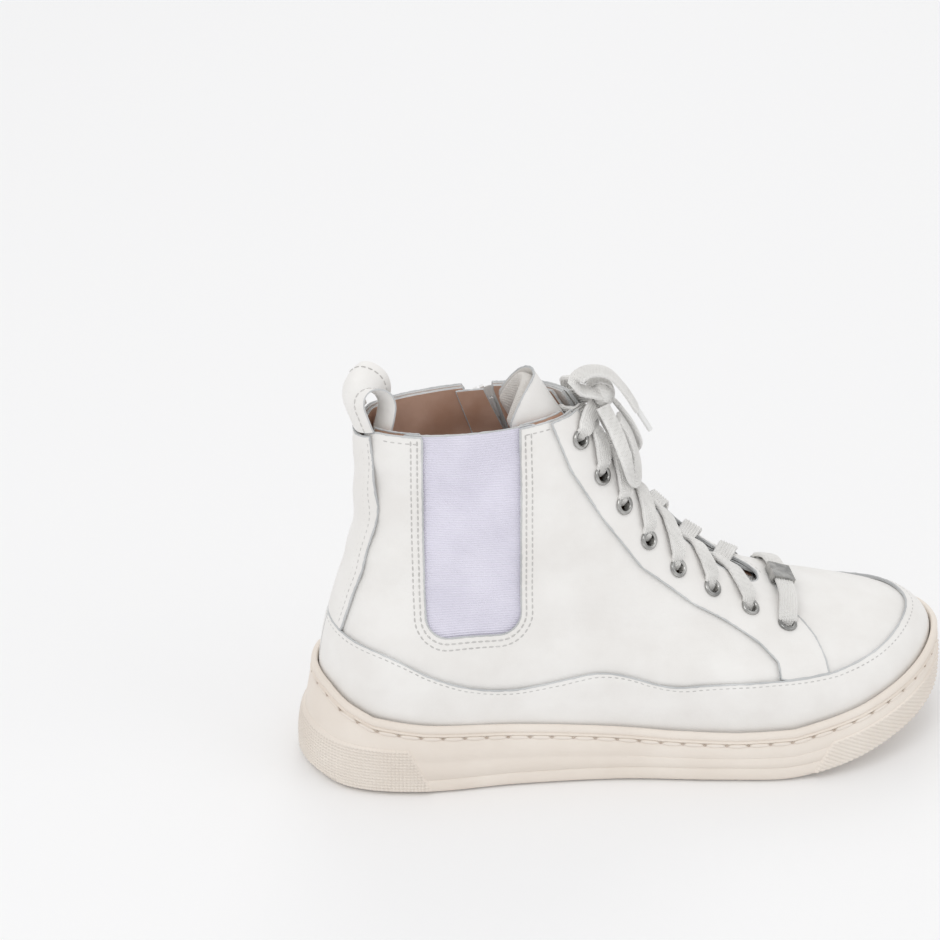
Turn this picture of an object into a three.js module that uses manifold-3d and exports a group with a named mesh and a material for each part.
// A right-foot leather high-top on a moulded cup sole, with an elastic gore on the outer side,
// a side zip on the inner side, and a laced front. Millimetres: +X to the toe, +Y to the inner
// (medial) side, -Y to the outer (lateral) side, +Z up. The group's origin is under the middle of
// the sole. Every upper panel is a patch of one lasted surface, at its own depth in the layers.
import * as THREE from "three";
import { mergeVertices } from "three/addons/utils/BufferGeometryUtils.js";
import Module from "manifold-3d";

const wasm = await Module();
wasm.setup();

// ---- Driving dimensions, mm ----
const UPPER_LENGTH = 279; // heel to toe, outside the leather, at the sole's rim
const BALL_WIDTH = 99.5; // widest part of the upper
const COLLAR_HEIGHT = 166; // ground to the ankle collar at the sides
const COLLAR_HALF_WIDTH = 24; // half of the upper's width at the collar
const TOE_SPRING = 18; // rise of the sole's underside at the toe tip
const LEATHER = 1.4; // thickness of the outer panels
const GAP = 0.3; // clearance between pieces that touch
const LAYER_GAP = 0.5; // clearance between layers, more than the flat facets bulge
const TONGUE_FOAM = 3;
const STIFFENER = 0.9; // counter, toe puff and gore
const LINING = 1.1; // lining leather
const RIM_WIDTH = 2.6; // flat top of the sole's wall
const SOLE_FLARE = 5.4; // how far the sole stands out past the leather at the ground
const SOLE_FLOOR = 6; // thickness of the sole under the foot
const BOARD = 2.0; // lasting board
const BOARD_INSET = 1; // from the last's outline to the lasting board's edge
const BOARD_DROP = 0.8; // from the upper's lower edge to the lasting board
const FOOTBED = 4.5;
const BACKSTAY_HALF_WIDTH = 15;
const THROAT_HALF_GAP = 8.5; // half of the opening between the two eyelet rows
const EYELET_HOLE_R = 2.5;
const EYELET_FLANGE_R = 4.4;
const FLANGE_THICK = 0.8;
const LACE_WIDTH = 8;
const LACE_THICK = 1.6;
const ZIP_HALF_WIDTH = 6; // half of the gap between the quarters along the zip
const ZIP_TEETH_WIDTH = 1.9;
const ZIP_TEETH_THICK = 2.0;
const SLIDER_WIDTH = 8.4;
const SLIDER_LENGTH = 10;
const PULLER_WIDTH = 6.6;
const PULLER_LENGTH = 22;

// ---- Reference proportions: the tables below are drawn at these sizes and then scaled ----
const REF_LENGTH = 279;
const REF_WIDTH = 99.5;
const REF_COLLAR = 166;
const SX = UPPER_LENGTH / REF_LENGTH;
const SY = BALL_WIDTH / REF_WIDTH;
const SZ = COLLAR_HEIGHT / REF_COLLAR;

// Depths of the layers, measured outwards from the quarters' outer face.
const OVER = [LAYER_GAP, LAYER_GAP + LEATHER];
const MAIN = [-LEATHER, 0];
const under = (layer, gap, thickness) => [layer[0] - gap - thickness, layer[0] - gap];
const STIFF = under(MAIN, LAYER_GAP, STIFFENER);
const LINED = under(STIFF, LAYER_GAP, LINING);
const TONGUE_FACE = under(LINED, 2 * GAP, 1.2);
const TONGUE_PAD = under(TONGUE_FACE, LAYER_GAP, TONGUE_FOAM);
const TONGUE_BACK = under(TONGUE_PAD, LAYER_GAP, 1);

// ---- Small maths ----
const clamp = (x, lo, hi) => Math.min(hi, Math.max(lo, x));
const mix = (a, b, t) => a + (b - a) * t;
const smooth = (a, b, x) => {
  const t = clamp((x - a) / (b - a), 0, 1);
  return t * t * (3 - 2 * t);
};

// Straight-line lookup in a table of [x, y] rows.
function table(rows) {
  return (x) => {
    if (x <= rows[0][0]) return rows[0][1];
    for (let i = 1; i < rows.length; i++) {
      const [x0, y0] = rows[i - 1];
      const [x1, y1] = rows[i];
      if (x <= x1) return mix(y0, y1, (x - x0) / (x1 - x0));
    }
    return rows[rows.length - 1][1];
  };
}

// A smooth curve through 2-D points, by share of its chord length; the optional points
// before and after it set the direction at its ends.
function through(points, before, after) {
  const n = points.length;
  const far = (p, q) => Math.hypot(p[0] - q[0], p[1] - q[1]);
  const at = [0];
  for (let i = 1; i < n; i++) at.push(at[i - 1] + far(points[i], points[i - 1]));
  const slopes = points.map((p, i) => {
    const prev = i > 0 ? points[i - 1] : before || p;
    const next = i < n - 1 ? points[i + 1] : after || p;
    const run = far(p, prev) + far(next, p);
    return [(next[0] - prev[0]) / run, (next[1] - prev[1]) / run];
  });
  return (share) => {
    const s = clamp(share, 0, 1) * at[n - 1];
    let i = 0;
    while (i < n - 2 && at[i + 1] <= s) i++;
    const h = at[i + 1] - at[i];
    const w = (s - at[i]) / h;
    const [w2, w3] = [w * w, w * w * w];
    return [0, 1].map(
      (k) =>
        (2 * w3 - 3 * w2 + 1) * points[i][k] +
        (w3 - 2 * w2 + w) * h * slopes[i][k] +
        (3 * w2 - 2 * w3) * points[i + 1][k] +
        (w3 - w2) * h * slopes[i + 1][k],
    );
  };
}
const scaled = (rows, a, b) => rows.map(([p, q]) => [p * a, q * b]);

// ---- The lasted surface ----
// around = 0 on the front ridge, -1 at the heel by the lateral side, +1 by the medial side;
// up = 0 at the feather edge and 1 above the collar.
const backLine = through(
  scaled(
    [[5, 26], [3, 40], [4, 54], [6.5, 68], [11, 84], [16, 101], [19.5, 119], [20.5, 140], [20, 160], [19.5, 178]],
    SX,
    SZ,
  ),
);
const ridgeLine = through(
  scaled(
    [
      [277, 31], [278, 41], [275, 47.5], [268, 52.5], [255, 56.5], [238, 60], [220, 63.5], [203, 69],
      [186, 78.5], [170, 91], [157, 105], [144, 122], [131, 140], [120, 157], [109, 175], [98, 193],
    ],
    SX,
    SZ,
  ),
);
const LATERAL = [
  [0, 0], [11, 25], [38, 36.5], [85, 36.5], [130, 39], [175, 46.5], [208, 50], [238, 45], [264, 27], [279, -2],
];
const MEDIAL = [
  [0, 0], [11, 25], [38, 36], [78, 31.5], [115, 30], [150, 36], [185, 46], [218, 49.5], [250, 42], [274, 24],
  [279, 2],
];
const lateralLine = through(scaled(LATERAL, SX, SY), [11 * SX, -25 * SY], [274 * SX, -24 * SY]);
const medialLine = through(scaled(MEDIAL, SX, SY), [11 * SX, -25 * SY], [264 * SX, -27 * SY]);

// Heights along the sole, by x.
const featherZ = table(
  scaled([[0, 28], [60, 25], [110, 21], [160, 16.5], [200, 15.5], [235, 19], [262, 27], [279, 33]], SX, 1),
);
const rimZ = table(
  scaled(
    [
      [0, 48], [5, 47], [12, 42.5], [22, 37.5], [44, 34.5], [95, 30.5], [150, 25.5], [180, 24.5], [205, 26],
      [234, 33], [262, 41], [279, 45],
    ],
    SX,
    1,
  ),
);
const groundZ = (x) =>
  TOE_SPRING * smooth(0.7 * UPPER_LENGTH, 1.04 * UPPER_LENGTH, x) + 1.5 * smooth(15, 0, x);

const sideWidth = table([[0, 0.96], [0.08, 0.985], [0.16, 0.975], [0.25, 0.93], [0.35, 0.86], [0.5, 0.77], [0.7, 0.69]]);
const frontWidth = table([[0, 0.96], [0.08, 0.97], [0.16, 0.93], [0.25, 0.79], [0.35, 0.69], [0.5, 0.66]]);
const ankleWidth = table(
  [[0.4, 6], [0.6, 4.5], [0.8, 2], [0.93, 0], [1, -0.5]].map(([up, more]) => [up, COLLAR_HALF_WIDTH + more]),
);

function onLast(around, up) {
  const a = ((((around + 1) % 2) + 2) % 2) - 1;
  const s = 1 - Math.abs(a);
  const side = a > 0 ? 1 : -1;
  const ankle = smooth(0.2, 0.8, up);
  const [baseX, baseY] = (a > 0 ? medialLine : lateralLine)(s);
  const width = mix(sideWidth(up), frontWidth(up), smooth(0.35, 0.75, s));
  const ovalY = Math.pow(Math.max(0, Math.sin(Math.PI * s)), 0.88) * ankleWidth(up);
  const along = mix(baseX / UPPER_LENGTH, (1 - Math.cos(Math.PI * s)) / 2, ankle);
  const [back, front] = [backLine(up), ridgeLine(up)];
  const [back0, front0] = [backLine(0), ridgeLine(0)];
  const sag = featherZ(mix(back0[0], front0[0], along)) - mix(back0[1], front0[1], along);
  const lean = 4 * smooth(0.05, 0.3, up) * (1 - smooth(0.5, 0.8, up)) * smooth(0.3, 1, s);
  return new THREE.Vector3(
    mix(back[0], front[0], along),
    side * mix(baseY * width, ovalY, ankle) + lean,
    mix(back[1], front[1], along) + sag * Math.max(0, 1 - up / 0.5) ** 2,
  );
}

function outwards(around, up) {
  const h = 1e-3;
  const across = onLast(around + h, up).sub(onLast(around - h, up));
  const rise = onLast(around, Math.min(1, up + h)).sub(onLast(around, Math.max(0, up - h)));
  return across.cross(rise).normalize();
}

const lasted = (around, up, depth) =>
  onLast(around, up).addScaledVector(outwards(around, up), depth);

// The surface's (around, up) nearest to a given x and z on one side.
function findOnSide(side, x, z) {
  let best = { miss: Infinity };
  const look = (a0, a1, u0, u1, steps) => {
    for (let i = 0; i <= steps; i++)
      for (let j = 0; j <= steps; j++) {
        const around = mix(a0, a1, i / steps);
        const up = mix(u0, u1, j / steps);
        const p = onLast(side * around, up);
        const miss = Math.hypot(p.x - x, p.z - z);
        if (miss < best.miss) best = { miss, around, up };
      }
  };
  look(0.02, 0.98, 0, 1, 24);
  for (let span = 0.04; span > 1e-4; span *= 0.4)
    look(best.around - span, best.around + span, best.up - span, Math.min(1, best.up + span), 6);
  return [side * best.around, best.up];
}

// ---- Seam lines: each is a signed distance in mm, above 0 inside ----
const MM_PER_UP = 200;

// Signed distance from a point to an open line of [x, z] points; above 0 on its left.
function leftOf(line, x, z) {
  let best = Infinity;
  let sign = 1;
  for (let i = 1; i < line.length; i++) {
    const [x0, z0] = line[i - 1];
    const [dx, dz] = [line[i][0] - x0, line[i][1] - z0];
    const ends = dx * dx + dz * dz;
    let t = ((x - x0) * dx + (z - z0) * dz) / ends;
    if (i > 1) t = Math.max(0, t);
    if (i < line.length - 1) t = Math.min(1, t);
    const [ex, ez] = [x - x0 - t * dx, z - z0 - t * dz];
    const far = Math.hypot(ex, ez);
    if (far < best) {
      best = far;
      sign = dx * ez - dz * ex > 0 ? 1 : -1;
    }
  }
  return sign * best;
}

const guardTop = table([
  [-1, 0.296], [-0.9, 0.289], [-0.82, 0.274], [-0.75, 0.207], [-0.7, 0.147], [-0.66, 0.136], [-0.6, 0.165],
  [-0.52, 0.202], [-0.48, 0.18], [-0.44, 0.141], [-0.38, 0.152], [-0.32, 0.154], [-0.24, 0.133], [-0.15, 0.114],
  [0, 0.099], [0.15, 0.114], [0.24, 0.133], [0.34, 0.16], [0.42, 0.153], [0.5, 0.15], [0.545, 0.172],
  [0.586, 0.152], [0.65, 0.198], [0.72, 0.234], [0.78, 0.253], [0.86, 0.273], [1, 0.296],
]);
const wrap = (around) => (around > 1 ? around - 2 : around < -1 ? around + 2 : around);
const aboveGuard = (around, up) => (up - guardTop(wrap(around))) * MM_PER_UP;

const collarZ = (x, side) =>
  SZ * table([[18, 161], [27, 165.5], [50, 166], [100, side > 0 ? 169 : 167.5], [120, 168]])(x / SX);
const underCollar = (p) => collarZ(p.x, p.y > 0 ? 1 : -1) - p.z;

const EYESTAY_SEAM = scaled(
  [
    [95, 180], [100.4, 167], [108.5, 145.8], [122, 122.7], [140, 97.2], [162.7, 78.3], [191.4, 60.6],
    [198.5, 54.5], [200, 40],
  ],
  SX,
  SZ,
);
const inFrontOfSeam = (p) => leftOf(EYESTAY_SEAM, p.x, p.z);

const ridgeY = (up) => 4 * smooth(0.05, 0.3, up) * (1 - smooth(0.5, 0.8, up));
const fromRidge = (p, up) => Math.abs(p.y - ridgeY(up));
const THROAT_END = 199 * SX; // x of the throat's rounded lower end
function outsideThroat(p, up) {
  const past = Math.max(0, p.x - (THROAT_END - THROAT_HALF_GAP));
  return Math.hypot(past, fromRidge(p, up)) - THROAT_HALF_GAP;
}
const eyestayFront = table([[0, 205.5], [10, 207.5], [20, 211], [32, 218], [50, 222.5]].map(([d, x]) => [d, x * SX]));
const behindArc = (p, up) => eyestayFront(fromRidge(p, up)) - p.x;
const VAMP_BACK = 199 * SX;

// The gore's U-shaped notch in the lateral quarter.
const GORE = { back: 45 * SX, front: 86.5 * SX, low: 72.5 * SZ, corner: 10, margin: 7 };
function inGore(p, grow) {
  const [cx, half] = [(GORE.back + GORE.front) / 2, (GORE.front - GORE.back) / 2 + grow];
  const r = GORE.corner + grow;
  const dx = Math.abs(p.x - cx) - (half - r);
  const dz = GORE.low - grow + r - p.z;
  const out = Math.hypot(Math.max(dx, 0), Math.max(dz, 0)) + Math.min(Math.max(dx, dz), 0);
  return p.y < 0 ? r - out : -50;
}

// The zip's straight line on the medial side.
const ZIP_TOP_XZ = [76.2 * SX, 163 * SZ];
const ZIP_LOW_XZ = [113.3 * SX, 58 * SZ];
const zipTop = lasted(...findOnSide(1, ...ZIP_TOP_XZ), -0.4);
const zipLow = lasted(...findOnSide(1, ...ZIP_LOW_XZ), -0.4);
const zipDown = zipLow.clone().sub(zipTop).normalize();
const zipMiddle = findOnSide(1, (zipTop.x + zipLow.x) / 2, (zipTop.z + zipLow.z) / 2);
const zipAcross = new THREE.Vector3().crossVectors(outwards(...zipMiddle), zipDown).normalize();
const zipOut = new THREE.Vector3().crossVectors(zipDown, zipAcross).normalize();
const zipLength = zipTop.distanceTo(zipLow);
const zipMatrix = new THREE.Matrix4().makeBasis(zipDown, zipAcross, zipOut).setPosition(zipTop);
// Above 0 towards the toe side of the zip's line, in the side view.
const zipRun = Math.hypot(zipLow.x - zipTop.x, zipLow.z - zipTop.z);
const toeSideOfZip = (p) =>
  ((p.x - zipTop.x) * (zipTop.z - zipLow.z) - (zipTop.z - p.z) * (zipLow.x - zipTop.x)) / zipRun;
// Half-width of the slot for the zip: full width above its lower end, a plain seam below it.
const zipSlot = (p) => (p.z > zipLow.z - 4 ? ZIP_HALF_WIDTH : GAP / 2);

// ---- Making solids ----
function solidFrom(geometry) {
  const plain = geometry.index ? geometry.toNonIndexed() : geometry.clone();
  const bare = new THREE.BufferGeometry().setAttribute("position", plain.getAttribute("position"));
  const merged = mergeVertices(bare, 1e-3);
  return new wasm.Manifold(
    new wasm.Mesh({
      numProp: 3,
      vertProperties: merged.attributes.position.array,
      triVerts: new Uint32Array(merged.index.array),
    }),
  );
}

function geometryFrom(solid) {
  const mesh = solid.getMesh();
  const points = [];
  for (let i = 0; i < mesh.vertProperties.length; i += mesh.numProp)
    points.push(mesh.vertProperties[i], mesh.vertProperties[i + 1], mesh.vertProperties[i + 2]);
  const geometry = new THREE.BufferGeometry();
  geometry.setAttribute("position", new THREE.Float32BufferAttribute(points, 3));
  geometry.setIndex(Array.from(mesh.triVerts));
  return geometry.toNonIndexed();
}

function fromTriangles(points, triangles) {
  const geometry = new THREE.BufferGeometry();
  geometry.setAttribute("position", new THREE.Float32BufferAttribute(points.flatMap((p) => [p.x, p.y, p.z]), 3));
  geometry.setIndex(triangles.flat());
  return geometry;
}

// All panels share these lines, closer together where the surface bends more, so that the
// facets of one layer lie parallel to those of the next.
const HALF_AROUND = [
  0, 0.03, 0.06, 0.09, 0.125, 0.165, 0.21, 0.26, 0.32, 0.4, 0.5, 0.6, 0.68, 0.74, 0.79, 0.83, 0.865, 0.9, 0.935,
  0.965, 1,
];
const AROUND_LINES = [
  ...HALF_AROUND.map((a) => -a),
  ...HALF_AROUND.slice(1),
  ...HALF_AROUND.slice(1).map((a) => 2 - a),
].sort((p, q) => p - q);
const UP_LINES = [0, 0.04, 0.08, 0.12, 0.16, 0.2, 0.25, 0.3, 0.36, 0.43, 0.5, 0.58, 0.66, 0.74, 0.82, 0.88, 0.94, 1];
function linesWithin(lines, low, high) {
  const tight = 0.004;
  return [low, ...lines.filter((x) => x > low + tight && x < high - tight), high];
}

// A patch of the lasted surface, where inside(point, around, up) is above 0, given thickness
// from depths[0] to depths[1].
function panel({ around, up, inside, depths }) {
  const value = (q) => inside(lasted(q[0], q[1], (depths[0] + depths[1]) / 2), q[0], q[1]);
  const columns = linesWithin(AROUND_LINES, ...around);
  const rows = linesWithin(UP_LINES, ...up);
  const [na, nu] = [columns.length - 1, rows.length - 1];
  const grid = rows.flatMap((u) => columns.map((a) => ({ at: [a, u], g: value([a, u]) })));
  const cells = [];
  for (let j = 0; j < nu; j++)
    for (let i = 0; i < na; i++) {
      const k = j * (na + 1) + i;
      cells.push([k, k + 1, k + na + 2], [k, k + na + 2, k + na + 1]);
    }
  // The place between two grid points where the seam crosses.
  const crossing = (p, q) => {
    let [lo, hi] = p.g > 0 ? [p.at, q.at] : [q.at, p.at];
    for (let n = 0; n < 12; n++) {
      const mid = [(lo[0] + hi[0]) / 2, (lo[1] + hi[1]) / 2];
      if (value(mid) > 0) lo = mid;
      else hi = mid;
    }
    return lo;
  };
  // Grid points close to the seam move onto it, so that no sliver is left beside it.
  const moves = new Map();
  for (const cell of cells)
    for (let n = 0; n < 3; n++) {
      const [i, j] = [cell[n], cell[(n + 1) % 3]];
      const [p, q] = [grid[i], grid[j]];
      if (p.g > 0 === q.g > 0) continue;
      const c = crossing(p, q);
      const share = Math.hypot(c[0] - p.at[0], c[1] - p.at[1]) / Math.hypot(q.at[0] - p.at[0], q.at[1] - p.at[1]);
      const near = share < 0.5 ? [i, share] : [j, 1 - share];
      if (near[1] < 0.3 && (!moves.has(near[0]) || moves.get(near[0]).share > near[1]))
        moves.set(near[0], { at: c, share: near[1] });
    }
  for (const [i, move] of moves) grid[i] = { at: move.at, g: 0 };
  const used = grid.slice();
  const cuts = new Map();
  const cut = (i, j) => {
    const key = i < j ? i + "_" + j : j + "_" + i;
    if (!cuts.has(key)) {
      cuts.set(key, used.length);
      used.push({ at: crossing(grid[i], grid[j]), g: 0 });
    }
    return cuts.get(key);
  };
  const faces = [];
  for (const cell of cells) {
    const g = cell.map((k) => grid[k].g);
    if (Math.max(...g) <= 0) continue;
    const outline = [];
    for (let n = 0; n < 3; n++) {
      const [i, j] = [cell[n], cell[(n + 1) % 3]];
      if (grid[i].g >= 0) outline.push(i);
      if (grid[i].g * grid[j].g < 0) outline.push(cut(i, j));
    }
    for (let n = 2; n < outline.length; n++) faces.push([outline[0], outline[n - 1], outline[n]]);
  }
  return thicken(used, largestPatch(faces), depths);
}

// The faces of the largest connected patch: a seam can cut a scrap off a corner of the grid.
function largestPatch(faces) {
  const byEdge = new Map();
  faces.forEach((face, f) => {
    for (let n = 0; n < 3; n++) {
      const key = [face[n], face[(n + 1) % 3]].sort((p, q) => p - q).join("_");
      if (!byEdge.has(key)) byEdge.set(key, []);
      byEdge.get(key).push(f);
    }
  });
  const patch = faces.map(() => -1);
  let best = [];
  for (let start = 0; start < faces.length; start++) {
    if (patch[start] >= 0) continue;
    const found = [start];
    patch[start] = start;
    for (let k = 0; k < found.length; k++)
      for (let n = 0; n < 3; n++) {
        const face = faces[found[k]];
        const key = [face[n], face[(n + 1) % 3]].sort((p, q) => p - q).join("_");
        for (const other of byEdge.get(key))
          if (patch[other] < 0) {
            patch[other] = start;
            found.push(other);
          }
      }
    if (found.length > best.length) best = found;
  }
  return best.map((f) => faces[f]);
}

function thicken(used, faces, [inner, outer]) {
  const points = [];
  const slot = new Map();
  const place = (i) => {
    if (!slot.has(i)) {
      slot.set(i, points.length);
      points.push(lasted(...used[i].at, outer), lasted(...used[i].at, inner));
    }
    return slot.get(i);
  };
  const triangles = [];
  const edges = new Map();
  for (const face of faces) {
    const [p, q, r] = face.map(place);
    triangles.push([p, q, r], [r + 1, q + 1, p + 1]);
    for (const [i, j] of [[p, q], [q, r], [r, p]]) {
      if (edges.has(j + "_" + i)) edges.delete(j + "_" + i);
      else edges.set(i + "_" + j, [i, j]);
    }
  }
  for (const [i, j] of edges.values()) triangles.push([j, i, i + 1], [j, i + 1, j + 1]);
  return fromTriangles(points, triangles);
}

// A closed solid from rings of equal length, the first and the last filled in across.
function ringSolid(rings) {
  const n = rings[0].length;
  const triangles = [];
  for (let k = 1; k < rings.length; k++)
    for (let i = 0; i < n; i++) {
      const j = (i + 1) % n;
      const [p, q] = [(k - 1) * n, k * n];
      triangles.push([p + i, p + j, q + j], [p + i, q + j, q + i]);
    }
  const fill = (start, flip) => {
    for (let i = 0; i < n / 2 - 1; i++) {
      const [p, q, r, s] = [i, i + 1, n - 2 - i, n - 1 - i].map((k) => start + k);
      for (const t of [[p, q, s], [q, r, s]]) triangles.push(flip ? t.slice().reverse() : t);
    }
  };
  fill(0, true);
  fill((rings.length - 1) * n, false);
  return fromTriangles(rings.flat(), triangles);
}

// The sole's plan outline, moved outwards by grow (mm, or a function of x), at a height that depends on x: counter-clockwise
// from above, starting beside the heel. Its points pair up across the middle.
const OUTLINE_STEPS = 22;
function soleRing(grow, height) {
  const flat = (a) => {
    const [x, y] = (a > 0 ? medialLine : lateralLine)(1 - Math.abs(a));
    return [x, a > 0 ? y : -y];
  };
  const ring = [];
  for (let k = 0; k < 2 * OUTLINE_STEPS; k++) {
    const a = -1 + (k + 0.5) / OUTLINE_STEPS;
    const [x0, y0] = flat(a - 0.004);
    const [x1, y1] = flat(a + 0.004);
    const [x, y] = flat(a);
    const run = Math.hypot(x1 - x0, y1 - y0);
    const out = typeof grow === "function" ? grow(x) : grow;
    ring.push(new THREE.Vector3(x + (out * (y1 - y0)) / run, y - (out * (x1 - x0)) / run, height(x)));
  }
  return ring;
}
const slab = (grow, low, high) => ringSolid([soleRing(grow, low), soleRing(grow, high)]);

// A flat ribbon along a path of { p, out } points, where out is the ribbon's face normal.
function ribbon(path, width, thick) {
  const rings = path.map(({ p, out }, i) => {
    const ahead = path[Math.min(i + 1, path.length - 1)].p.clone().sub(path[Math.max(i - 1, 0)].p);
    const side = new THREE.Vector3().crossVectors(ahead, out).normalize();
    const face = new THREE.Vector3().crossVectors(side, ahead).normalize();
    return [[-1, -1], [1, -1], [1, 1], [-1, 1]].map(([u, w]) =>
      p.clone().addScaledVector(side, (u * width) / 2).addScaledVector(face, (w * thick) / 2),
    );
  });
  const made = ringSolid(rings);
  return signedVolume(made) > 0 ? made : ringSolid(rings.slice().reverse());
}

function signedVolume(geometry) {
  const flat = geometry.index ? geometry.toNonIndexed() : geometry;
  const at = flat.getAttribute("position");
  const [p, q, r] = [0, 1, 2].map(() => new THREE.Vector3());
  let sum = 0;
  for (let i = 0; i < at.count; i += 3) {
    p.fromBufferAttribute(at, i);
    q.fromBufferAttribute(at, i + 1);
    r.fromBufferAttribute(at, i + 2);
    sum += p.dot(q.cross(r)) / 6;
  }
  return sum;
}

const MATERIALS = {
  leather: { color: "#eeece9", roughness: 0.5 },
  lining: { color: "#be9178", roughness: 0.7 },
  tongue_lining: { color: "#c8c1ba", roughness: 0.8 },
  foam: { color: "#e8dfc8", roughness: 0.9 },
  rubber: { color: "#ebe2d8", roughness: 0.7 },
  gore: { color: "#dedbe9", roughness: 0.9 },
  board: { color: "#b8a488", roughness: 0.9 },
  lace: { color: "#e2e2de", roughness: 0.9 },
  zip: { color: "#ecebe7", roughness: 0.5 },
  nickel: { color: "#a9a9a8", roughness: 0.25, metalness: 1 },
};
const parts = new THREE.Group();
function add(name, material, geometry) {
  const mesh = new THREE.Mesh(geometry, new THREE.MeshStandardMaterial(MATERIALS[material]));
  mesh.name = name;
  parts.add(mesh);
  return mesh;
}

// ---- Sole ----
const soleInside = (x) => groundZ(x) + SOLE_FLOOR;
const CUP_INSIDE = 1.8; // from the last's outline to the inside of the sole's wall
const HEEL_TUCK = 2.2; // how far the wall leans in at the heel
const HEEL_FLARE = 2.6; // how much further out the sole's lower edge stands at the heel
const cupIn = (x) => CUP_INSIDE - HEEL_TUCK * Math.max(0, 1 - x / (14 * SX)) ** 1.6;
const flare = (x) => SOLE_FLARE + HEEL_FLARE * (1 - smooth(0, 40 * SX, x));
function makeSole() {
  const halfway = (x) => mix(groundZ(x), rimZ(x), 0.55);
  add(
    "cupsole",
    "rubber",
    ringSolid([
      soleRing((x) => flare(x) - 1.5, groundZ),
      soleRing(flare, (x) => groundZ(x) + 1.5),
      soleRing((x) => mix(flare(x), SOLE_FLARE, 0.3) - 0.4, halfway),
      soleRing((x) => cupIn(x) + RIM_WIDTH + 0.4, (x) => rimZ(x) - 1.2),
      soleRing((x) => cupIn(x) + RIM_WIDTH - 0.4, rimZ),
      soleRing(cupIn, rimZ),
      soleRing(cupIn, soleInside),
    ]),
  );
  const boardTop = (x) => featherZ(x) - BOARD_DROP;
  const boardLow = (x) => boardTop(x) - BOARD;
  add("midsole_filler", "foam", slab((x) => cupIn(x) - GAP, (x) => soleInside(x) + GAP, (x) => boardLow(x) - GAP));
  add("lasting_board", "board", slab((x) => cupIn(x) - CUP_INSIDE - BOARD_INSET, boardLow, boardTop));
  add("footbed", "lining", slab(LINED[0] - 5, (x) => boardTop(x) + GAP, (x) => boardTop(x) + GAP + FOOTBED));
}

// ---- Upper ----
const EYELET_ROWS = [
  [112.5, 156.5], [122, 139.3], [131.8, 124.4], [142.9, 106.8], [156.3, 91.6], [172.3, 79.7], [189.8, 68.7],
  [206, 61.5],
].map(([x, z]) => [x * SX, z * SZ]);

function makeOverlays() {
  const guardSeam = 0.566;
  add("mudguard_lateral", "leather", panel({
    around: [-1 + 0.0015, guardSeam - 0.0015],
    up: [0, 0.32],
    depths: OVER,
    inside: (p, a, u) => -aboveGuard(a, u),
  }));
  add("mudguard_medial", "leather", panel({
    around: [guardSeam + 0.0015, 1 - 0.0015],
    up: [0, 0.32],
    depths: OVER,
    inside: (p, a, u) => -aboveGuard(a, u),
  }));
  add("backstay", "leather", panel({
    around: [0.85, 1.15],
    up: [0.28, 0.92],
    depths: OVER,
    inside: (p, a, u) =>
      Math.min(BACKSTAY_HALF_WIDTH - Math.abs(p.y), aboveGuard(a, u) - GAP * 2, underCollar(p) - GAP),
  }));
  const eyestay = panel({
    around: [-0.42, 0.42],
    up: [0.12, 0.93],
    depths: OVER,
    inside: (p, a, u) =>
      Math.min(
        inFrontOfSeam(p),
        behindArc(p, u),
        aboveGuard(a, u) - 2 * GAP,
        outsideThroat(p, u),
        underCollar(p),
      ),
  });
  add("eyestay", "leather", withEyeletHoles(eyestay));
}

const BARREL_R = EYELET_HOLE_R + 0.5;
function eyeletPlaces() {
  return [-1, 1].flatMap((side) =>
    EYELET_ROWS.map(([x, z]) => {
      const [around, up] = findOnSide(-1, x, z);
      return { side, around: side * Math.abs(around), up };
    }),
  );
}

// Turns +Z to the surface's outward normal at a place on the last.
function standOn({ around, up }, depth) {
  const turn = new THREE.Quaternion().setFromUnitVectors(new THREE.Vector3(0, 0, 1), outwards(around, up));
  return new THREE.Matrix4().compose(lasted(around, up, depth), turn, new THREE.Vector3(1, 1, 1));
}

function withEyeletHoles(geometry) {
  let solid = solidFrom(geometry);
  for (const place of eyeletPlaces()) {
    const drill = new THREE.CylinderGeometry(BARREL_R + GAP, BARREL_R + GAP, 16, 8);
    drill.rotateX(Math.PI / 2);
    drill.applyMatrix4(standOn(place, 0));
    solid = solid.subtract(solidFrom(drill));
  }
  return geometryFrom(solid);
}

function makeQuarters() {
  const general = (p, u) => Math.min(underCollar(p), VAMP_BACK - GAP / 2 - p.x, outsideThroat(p, u));
  const lateral = (notch) => (p, a, u) => Math.min(general(p, u), -inGore(p, notch));
  add("quarter_lateral", "leather", withEyeletHoles(panel({
    around: [-1 + 0.003, -0.03], up: [0, 0.95], depths: MAIN, inside: lateral(0),
  })));
  add("lining_lateral", "lining", withEyeletHoles(panel({
    around: [-1 + 0.003, -0.03], up: [0.02, 0.95], depths: LINED, inside: lateral(0),
  })));
  const rear = (p) => Math.min(underCollar(p), -toeSideOfZip(p) - zipSlot(p));
  const front = (p, a, u) => Math.min(general(p, u), toeSideOfZip(p) - zipSlot(p));
  add("quarter_medial_rear", "leather", panel({
    around: [0.42, 1 - 0.003], up: [0, 0.95], depths: MAIN, inside: rear,
  }));
  add("quarter_medial_front", "leather", withEyeletHoles(panel({
    around: [0.03, 0.68], up: [0, 0.95], depths: MAIN, inside: front,
  })));
  add("lining_medial_rear", "lining", panel({
    around: [0.42, 1 - 0.003], up: [0.02, 0.95], depths: LINED, inside: rear,
  }));
  add("lining_medial_front", "lining", withEyeletHoles(panel({
    around: [0.03, 0.68], up: [0.02, 0.95], depths: LINED, inside: front,
  })));
}

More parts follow.
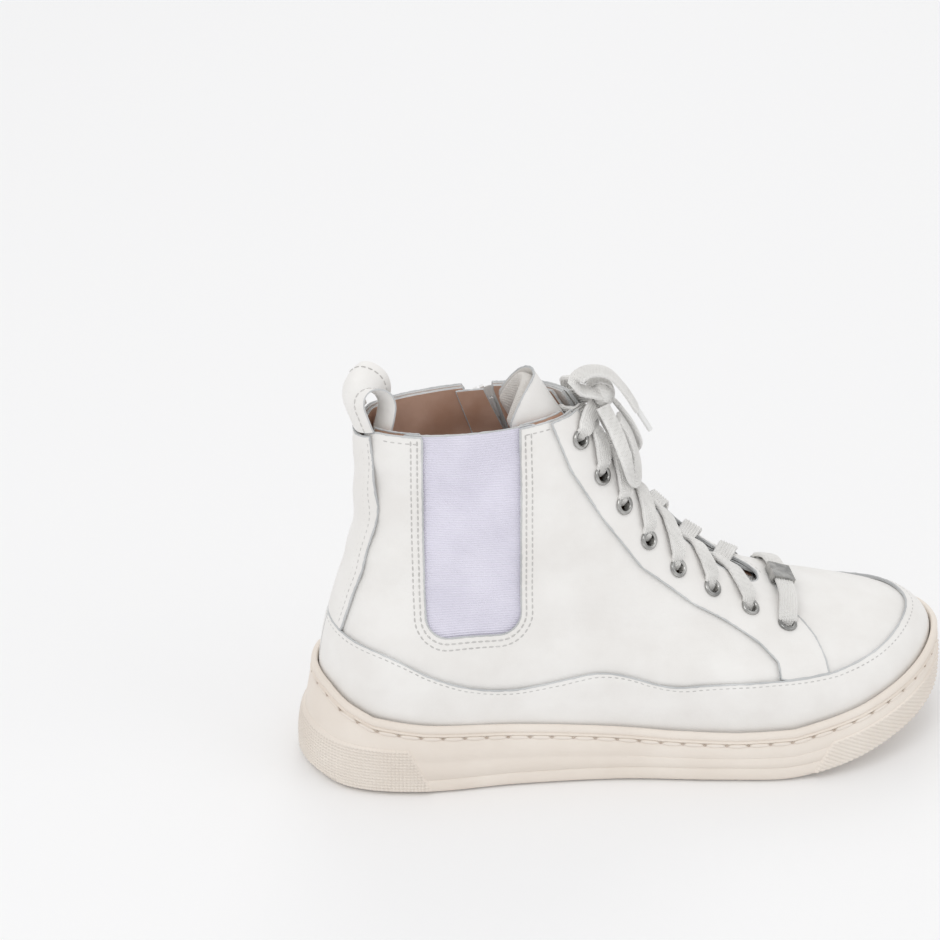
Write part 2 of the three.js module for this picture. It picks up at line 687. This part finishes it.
function makeVampAndStiffeners() {
  add("vamp", "leather", withEyeletHoles(panel({
    around: [-0.45, 0.45], up: [0, 0.33], depths: MAIN,
    inside: (p) => p.x - VAMP_BACK - GAP / 2,
  })));
  add("vamp_lining", "lining", withEyeletHoles(panel({
    around: [-0.45, 0.45], up: [0.02, 0.33], depths: LINED,
    inside: (p) => p.x - VAMP_BACK - GAP / 2,
  })));
  add("toe_puff", "board", panel({
    around: [-0.3, 0.3], up: [0.02, 0.22], depths: STIFF,
    inside: (p) => p.x - 0.84 * UPPER_LENGTH,
  }));
  add("heel_counter", "board", panel({
    around: [0.76, 1.24], up: [0.02, 0.42], depths: STIFF,
    inside: (p) => Math.min(GORE.back - GORE.margin - 2 - p.x, 86 * SZ - p.z),
  }));
  add("gore_panel", "gore", panel({
    around: [-0.8, -0.3], up: [0.2, 0.95], depths: STIFF,
    inside: (p) => Math.min(inGore(p, GORE.margin), underCollar(p)),
  }));
}

// ---- Tongue ----
const TONGUE_TOP = 183;
const TONGUE_FALL = 17; // from the tongue's top to its corners
function makeTongue() {
  const halfSpan = table([[0.25, 0.2], [0.5, 0.26], [0.75, 0.34], [0.85, 0.37], [1, 0.37]]);
  const shape = (less) => (p, a, u) =>
    Math.min(
      (halfSpan(u) - Math.abs(a)) * 150 - less,
      THROAT_END - 4 - less - p.x,
      SZ * (TONGUE_TOP - TONGUE_FALL * (Math.abs(a) / 0.37) ** 3) - less - p.z,
    );
  const range = { around: [-0.44, 0.44], up: [0.24, 1] };
  add("tongue_face", "leather", panel({ ...range, depths: TONGUE_FACE, inside: shape(0) }));
  add("tongue_padding", "foam", panel({ ...range, depths: TONGUE_PAD, inside: shape(2) }));
  add("tongue_lining", "tongue_lining", panel({ ...range, depths: TONGUE_BACK, inside: shape(0) }));
}

// ---- Pull loop: a strap that rises from the collar at the heel and folds down inside it ----
function makePullLoop() {
  const profile = [
    [1.0, 0.8], [3.4, 8], [5.4, 14.5], [4.6, 19.5], [0.8, 22], [-4.8, 20.6], [-9.8, 16], [-11.9, 10.5], [-10.2, 4],
    [-7.4, -3], [-7.2, -11],
  ];
  const thick = LEATHER;
  const curve = new THREE.CatmullRomCurve3(profile.map(([d, h]) => new THREE.Vector3(d, h, 0)));
  const steps = 13;
  const halves = [];
  for (let i = 0; i <= steps; i++) {
    const p = curve.getPoint(i / steps);
    const t = curve.getTangent(i / steps);
    halves.push([p, new THREE.Vector3(-t.y, t.x, 0)]);
  }
  const outline = [
    ...halves.map(([p, n]) => p.clone().addScaledVector(n, thick / 2)),
    ...halves.map(([p, n]) => p.clone().addScaledVector(n, -thick / 2)).reverse(),
  ];
  const collarUp = upAtHeight(SZ * 161);
  const slices = 4;
  const LOOP_SPREAD = 0.35;
  const rings = [];
  for (let k = 0; k <= slices; k++) {
    const a = 1 + mix(-1, 1, k / slices) * heelSpan(BACKSTAY_HALF_WIDTH - 1.5, collarUp);
    const foot = onLast(a, collarUp);
    const away = outwards(a, collarUp).multiply(new THREE.Vector3(1, LOOP_SPREAD, 0)).normalize();
    rings.push(outline.map((q) =>
      new THREE.Vector3(foot.x + away.x * q.x, foot.y + away.y * q.x, collarZ(foot.x, foot.y) + q.y),
    ));
  }
  const made = ringSolid(rings);
  add("pull_loop", "leather", signedVolume(made) > 0 ? made : ringSolid(rings.reverse()));
}

// Where the heel's back line reaches a height, and the span of around that gives a half-width.
function upAtHeight(z) {
  let [lo, hi] = [0.3, 1];
  for (let i = 0; i < 24; i++) {
    const mid = (lo + hi) / 2;
    if (onLast(1, mid).z < z) lo = mid;
    else hi = mid;
  }
  return lo;
}
function heelSpan(halfWidth, up) {
  let [lo, hi] = [0, 0.4];
  for (let i = 0; i < 24; i++) {
    const mid = (lo + hi) / 2;
    if (Math.abs(onLast(1 - mid, up).y) < halfWidth) lo = mid;
    else hi = mid;
  }
  return lo;
}

// ---- Zip: in its own frame, x down the zip, y across it, z out of the shoe ----
const TEETH_GAP = 1.0; // between the two rows of teeth, where the slider's post runs
const PLATE = 1.0; // thickness of the slider's plates
const SLIDER_START = 4; // from the zip's top to the slider's upper edge
function box(x0, x1, y0, y1, z0, z1) {
  const made = new THREE.BoxGeometry(x1 - x0, y1 - y0, z1 - z0);
  made.translate((x0 + x1) / 2, (y0 + y1) / 2, (z0 + z1) / 2);
  return made;
}
function joined(...geometries) {
  return geometryFrom(geometries.map(solidFrom).reduce((sum, next) => sum.add(next)));
}
function addToZip(name, material, geometry) {
  const mesh = add(name, material, geometry);
  mesh.applyMatrix4(zipMatrix);
}

function makeZip() {
  const inner = TEETH_GAP / 2;
  const outer = inner + ZIP_TEETH_WIDTH;
  const half = ZIP_TEETH_THICK / 2;
  for (const [name, side] of [["front", -1], ["rear", 1]]) {
    const strip = (y0, y1, z) => box(0, zipLength, Math.min(side * y0, side * y1), Math.max(side * y0, side * y1), -z, z);
    addToZip("zip_teeth_" + name, "zip", strip(inner, outer, half));
    addToZip("zip_tape_" + name, "zip", strip(outer + GAP, ZIP_HALF_WIDTH - 2 * GAP, 0.35));
    addToZip("zip_top_stop_" + name, "zip",
      box(-2.4, -GAP, ...[side * inner, side * outer].sort((p, q) => p - q), -half, half));
  }
  addToZip("zip_bottom_stop", "zip", box(zipLength + GAP, zipLength + 2.6, -outer, outer, -half, half));
  const [x0, x1] = [SLIDER_START, SLIDER_START + SLIDER_LENGTH];
  const top = half + GAP;
  const w = SLIDER_WIDTH / 2;
  addToZip("zip_slider", "zip", joined(
    box(x0, x1, -w, w, top, top + PLATE),
    box(x0, x1, -w, w, -top - PLATE, -top),
    box(x0, x0 + 3, -inner + 0.2, inner - 0.2, -top - 0.2, top + 0.2),
    box(x0 + 2, x0 + 3.2, -1.2, 1.2, top + PLATE - 0.1, top + PLATE + 2.8),
    box(x0 + 2, x1 - 2.2, -1.2, 1.2, top + PLATE + 1.8, top + PLATE + 2.8),
    box(x1 - 3.4, x1 - 2.2, -1.2, 1.2, top + PLATE - 0.1, top + PLATE + 2.8),
  ));
  const z0 = top + PLATE + GAP;
  const eye = 1.2;
  const px = x0 + 3.2 + GAP;
  const [bar, h] = [1.1, PULLER_WIDTH / 2];
  addToZip("zip_puller", "zip", joined(
    box(px, px + bar, -h, h, z0, z0 + 1.2),
    box(px, px + 8, -h, -h + eye, z0, z0 + 1.2),
    box(px, px + 8, h - eye, h, z0, z0 + 1.2),
    box(px + 7.5, px + PULLER_LENGTH, -h, h, z0, z0 + 1.2),
  ));
}

// ---- Eyelets and lace ----
const ringOf = (side) => (side < 0 ? "lateral" : "medial");
function makeEyelets() {
  const [hole, barrel, flange] = [EYELET_HOLE_R, BARREL_R, EYELET_FLANGE_R];
  const low = LINED[0];
  const top = OVER[1] + 2 * GAP;
  const high = top + FLANGE_THICK;
  const profile = [
    [hole, low], [barrel, low], [barrel, top], [flange, top], [flange - FLANGE_THICK, high], [hole, high], [hole, low],
  ];
  eyeletPlaces().forEach((place, i) => {
    const made = new THREE.LatheGeometry(profile.map(([r, z]) => new THREE.Vector2(r, z)), 10);
    made.rotateX(Math.PI / 2);
    made.applyMatrix4(standOn(place, 0));
    const bare = signedVolume(made) > 0 ? made : flipped(made);
    add("eyelet_" + ringOf(place.side) + "_" + ((i % EYELET_ROWS.length) + 1), "nickel", bare);
  });
}
function flipped(geometry) {
  const flat = geometry.index ? geometry.toNonIndexed() : geometry.clone();
  const at = flat.getAttribute("position");
  const turned = new Float32Array(at.array.length);
  for (let i = 0; i < at.count; i += 3)
    for (const [from, to] of [[0, 0], [1, 2], [2, 1]])
      turned.set(at.array.slice(3 * (i + from), 3 * (i + from) + 3), 3 * (i + to));
  const made = new THREE.BufferGeometry();
  made.setAttribute("position", new THREE.BufferAttribute(turned, 3));
  return made;
}

// ---- Lace ----
const FLANGE_TOP = OVER[1] + 2 * GAP + FLANGE_THICK;
const LACE_OVER = FLANGE_TOP + GAP + LACE_THICK / 2; // height of the lace's middle over the surface
const KNOT = { up: 0.875, depth: 11.6, size: [10.4, 16.6, 13] };
const CHARM = { length: 13, wall: 0.8, clearance: 0.4, straight: 12.5, ahead: 2.5 };
const BAR_DEPTH = OVER[1] + GAP + CHARM.wall + CHARM.clearance + LACE_THICK / 2 + 0.3;

// A point of the lace's path, in the surface's own terms.
const laid = (around, up, depth) => ({ p: lasted(around, up, depth), out: outwards(around, up) });
function eyeletAt(side, row) {
  return eyeletPlaces()[(side < 0 ? 0 : EYELET_ROWS.length) + row];
}
// How far up the last its surface reaches a given x, at one place around it near the front.
function upAtX(around, x) {
  let [lo, hi] = [0.1, 1];
  for (let i = 0; i < 20; i++) {
    const mid = (lo + hi) / 2;
    if (onLast(around, mid).x > x) lo = mid;
    else hi = mid;
  }
  return lo;
}
// A stretch of lace from one place to another, straight in plan and bowed up by lift.
function strand(from, to, lift, steps = 8) {
  const [x0, x1] = [from, to].map(({ around, up }) => onLast(around, up).x);
  const path = [];
  for (let i = 0; i <= steps; i++) {
    const t = i / steps;
    const around = mix(from.around, to.around, t);
    path.push(laid(around, upAtX(around, mix(x0, x1, t)), LACE_OVER + lift * Math.sin(Math.PI * t)));
  }
  return ribbon(path, LACE_WIDTH, LACE_THICK);
}

// The straight bar of the lowest row, and the frame of the charm that slides on it.
const lowRow = EYELET_ROWS.length - 1;
function barFrame() {
  const up = upAtX(0, EYELET_ROWS[lowRow][0] + CHARM.ahead);
  const middle = onLast(0, up);
  const out = outwards(0, up).setY(0).normalize();
  const across = new THREE.Vector3(0, 1, 0);
  const fore = new THREE.Vector3().crossVectors(across, out);
  const centre = middle.addScaledVector(out, BAR_DEPTH);
  return { out, matrix: new THREE.Matrix4().makeBasis(fore, across, out).setPosition(centre) };
}

function makeLace() {
  const { out, matrix } = barFrame();
  const onBar = (y) => ({ p: new THREE.Vector3(0, y, 0).applyMatrix4(matrix), out });
  const [near, far] = [eyeletAt(-1, lowRow), eyeletAt(1, lowRow)];
  add("lace_bar", "lace", ribbon([
    laid(near.around, near.up, LACE_OVER + GAP), onBar(-CHARM.straight - 1.5), onBar(-CHARM.straight),
    onBar(CHARM.straight), onBar(CHARM.straight + 1.5), laid(far.around, far.up, LACE_OVER + GAP),
  ], LACE_WIDTH, LACE_THICK));
  const pieces = [];
  for (let row = lowRow - 1; row > 0; row--)
    for (const side of [-1, 1]) pieces.push(strand(eyeletAt(side, row), eyeletAt(-side, row - 1), 0.8));
  const knotFoot = { around: 0, up: KNOT.up - 0.015 };
  for (const side of [-1, 1]) pieces.push(strand(eyeletAt(side, 0), knotFoot, 0.6, 5));
  add("lace", "lace", joined(...pieces));

  const knot = new THREE.SphereGeometry(0.5, 10, 6);
  knot.rotateX(Math.PI / 2);
  const turn = new THREE.Quaternion().setFromUnitVectors(new THREE.Vector3(0, 0, 1), outwards(0, KNOT.up));
  const size = new THREE.Vector3(KNOT.size[2], KNOT.size[1], KNOT.size[0]);
  knot.applyMatrix4(new THREE.Matrix4().compose(lasted(0, KNOT.up, KNOT.depth), turn, size));
  add("lace_knot", "lace", knot);

  const w = LACE_WIDTH / 2 + CHARM.clearance + CHARM.wall;
  const h = LACE_THICK / 2 + CHARM.clearance + CHARM.wall;
  const l = CHARM.length / 2;
  const sleeve = solidFrom(box(-w, w, -l, l, -h, h));
  const bore = box(-w + CHARM.wall, w - CHARM.wall, -l - 1, l + 1, -h + CHARM.wall, h - CHARM.wall);
  add("lace_charm", "nickel", geometryFrom(sleeve.subtract(solidFrom(bore)))).applyMatrix4(matrix);
}

// The bow's loops and ends, from the knot's sides: x, y, z in shoe coordinates before centring.
const LOOPS = {
  lateral: [[124, -9.6, 169], [129, -15, 160], [133, -19, 149], [137, -17, 139], [142, -12, 136], [144, -8, 142],
    [140, -7, 153], [134, -7, 162]],
  medial: [[126, 9.4, 168.5], [127.5, 16, 161], [131, 22, 149], [135, 21, 140], [141, 16, 137], [143, 10, 143],
    [139, 8, 153], [133, 7.5, 162]],
};
const ENDS = {
  lateral: [[119.6, -6, 174.2], [114, -6.5, 176.5], [113.5, -6.5, 181.5], [119, -5.5, 184], [127, -5, 182], [134, -5, 174],
    [139.5, -5.5, 165]],
  medial: [[121.6, 7.8, 173.2], [115, 16, 170.5], [116, 24.5, 163], [119.5, 29, 152.5], [123.5, 31.5, 141.5],
    [127, 32.5, 131]],
};
const AGLET = { length: 12, width: 3.6, thick: 2.4 };
function freeLace(points, steps) {
  const curve = new THREE.CatmullRomCurve3(points.map(([x, y, z]) => new THREE.Vector3(x * SX, y, z * SZ)));
  const middle = lasted(0, KNOT.up - 0.12, -30);
  return Array.from({ length: steps + 1 }, (_, i) => {
    const p = curve.getPoint(i / steps);
    return { p, out: p.clone().sub(middle).normalize() };
  });
}
function makeBow() {
  for (const [side, points] of Object.entries(LOOPS))
    add("lace_loop_" + side, "lace", ribbon(freeLace(points, 12), LACE_WIDTH, LACE_THICK));
  for (const [side, points] of Object.entries(ENDS)) {
    const path = freeLace(points, 8);
    add("lace_end_" + side, "lace", ribbon(path, LACE_WIDTH, LACE_THICK));
    const tip = path[path.length - 1];
    const ahead = tip.p.clone().sub(path[path.length - 2].p).normalize();
    const start = { p: tip.p.clone().addScaledVector(ahead, GAP), out: tip.out };
    const end = { p: tip.p.clone().addScaledVector(ahead, GAP + AGLET.length), out: tip.out };
    add("aglet_" + side, "lace", ribbon([start, end], AGLET.width, AGLET.thick));
  }
}

makeSole();
makeOverlays();
makeQuarters();
makeVampAndStiffeners();
makeTongue();
makePullLoop();
makeZip();
makeEyelets();
makeLace();
makeBow();

// The origin goes under the middle of the sole.
const footprint = new THREE.Box3().setFromObject(parts.getObjectByName("cupsole"));
parts.position.set(-(footprint.min.x + footprint.max.x) / 2, -(footprint.min.y + footprint.max.y) / 2, 0);
const group = new THREE.Group();
group.add(parts);

export default group;
